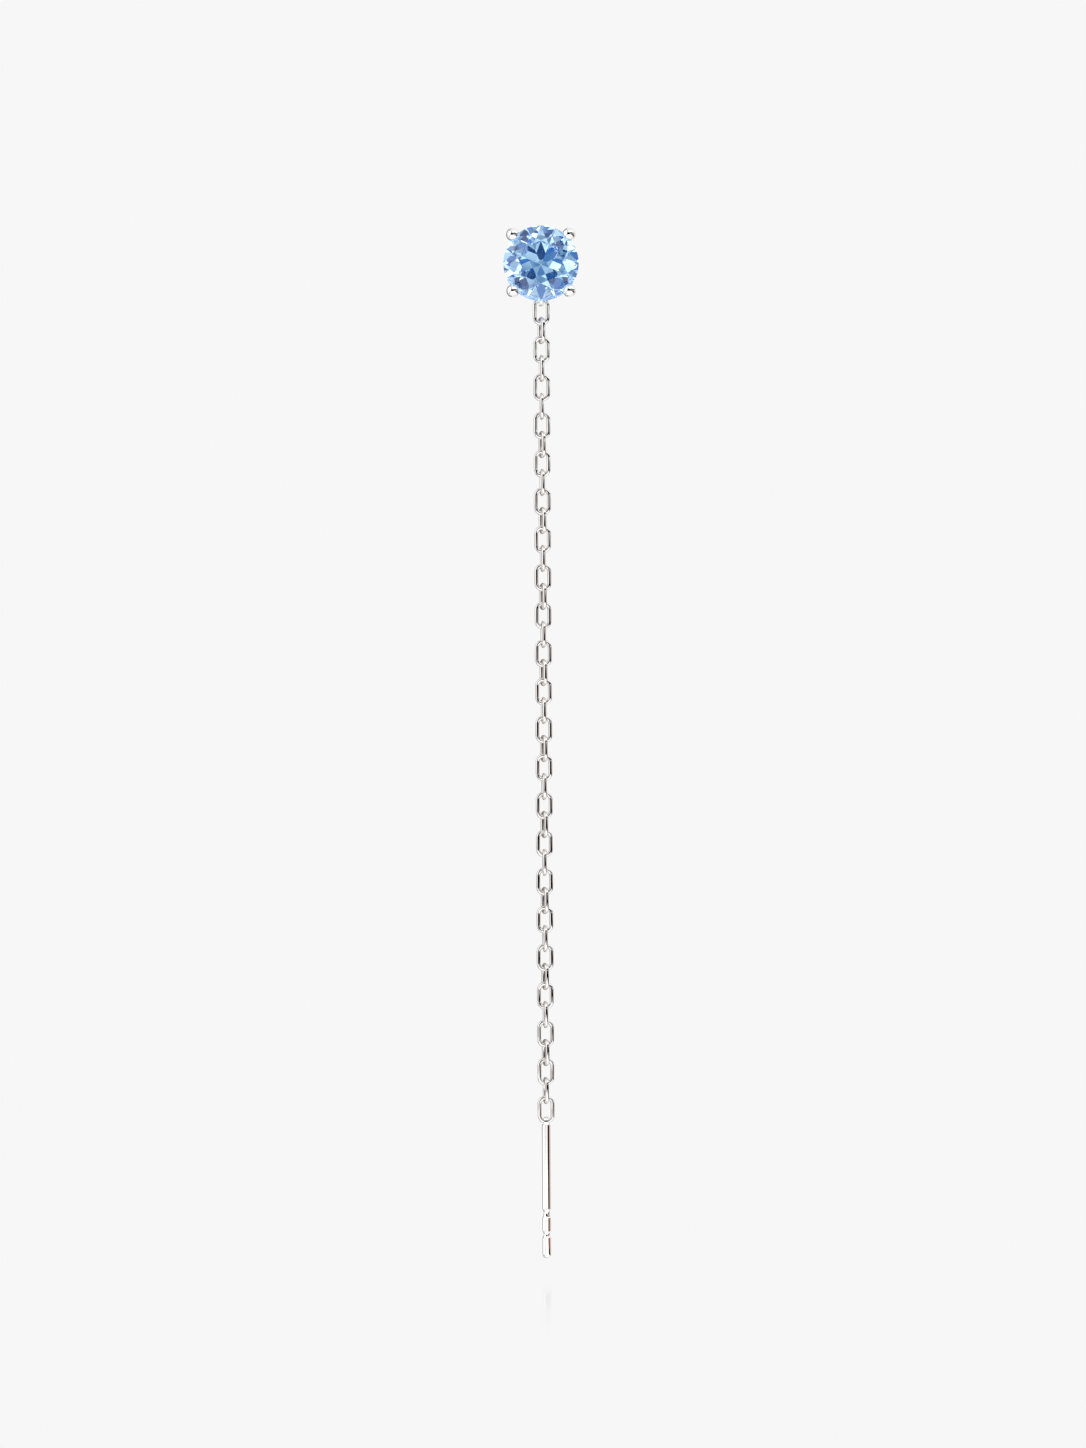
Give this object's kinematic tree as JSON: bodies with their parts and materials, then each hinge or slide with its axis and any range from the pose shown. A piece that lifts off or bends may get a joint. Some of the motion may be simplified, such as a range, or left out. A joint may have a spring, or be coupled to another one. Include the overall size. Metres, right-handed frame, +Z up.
{
  "type": "threader earring",
  "caption": "Threader earring: a pale blue round brilliant held in a claw basket, a fine cable chain hung under it, and a straight grooved post at the chain's end.",
  "frame": {"origin": "middle of the setting's back, where the basket rests on the ear lobe", "axes": "+Z up, along the hanging chain; -Y forwards, the way the stone's table faces; +X to the right as seen from the front"},
  "size_m": [0.006, 0.0041, 0.0824],
  "materials": {
    "stone": "cut and polished",
    "silver": "mirror polished"
  },
  "bodies": {
    "setting_and_chain": {"setting": "silver", "stone": "stone", "link_01": "silver", "link_02": "silver", "link_03": "silver", "link_04": "silver", "link_05": "silver", "link_06": "silver", "link_07": "silver", "link_08": "silver", "link_09": "silver", "link_10": "silver", "link_11": "silver", "link_12": "silver", "link_13": "silver", "link_14": "silver", "link_15": "silver", "link_16": "silver", "link_17": "silver", "link_18": "silver", "link_19": "silver", "link_20": "silver", "link_21": "silver", "link_22": "silver", "link_23": "silver", "link_24": "silver", "link_25": "silver", "link_26": "silver", "link_27": "silver", "link_28": "silver", "link_29": "silver", "link_30": "silver", "link_31": "silver", "link_32": "silver", "link_33": "silver", "link_34": "silver", "link_35": "silver", "link_36": "silver", "link_37": "silver", "link_38": "silver", "link_39": "silver", "link_40": "silver", "link_41": "silver", "link_42": "silver", "link_43": "silver"},
    "post": {"post": "silver"}
  },
  "joints": [
    {"name": "post_swing", "type": "hinge", "parent": "setting_and_chain", "child": "post", "pos_m": [0, -0.0017, -0.06849], "axis": [1, 0, 0], "range_deg": [-90, 90]}
  ]
}
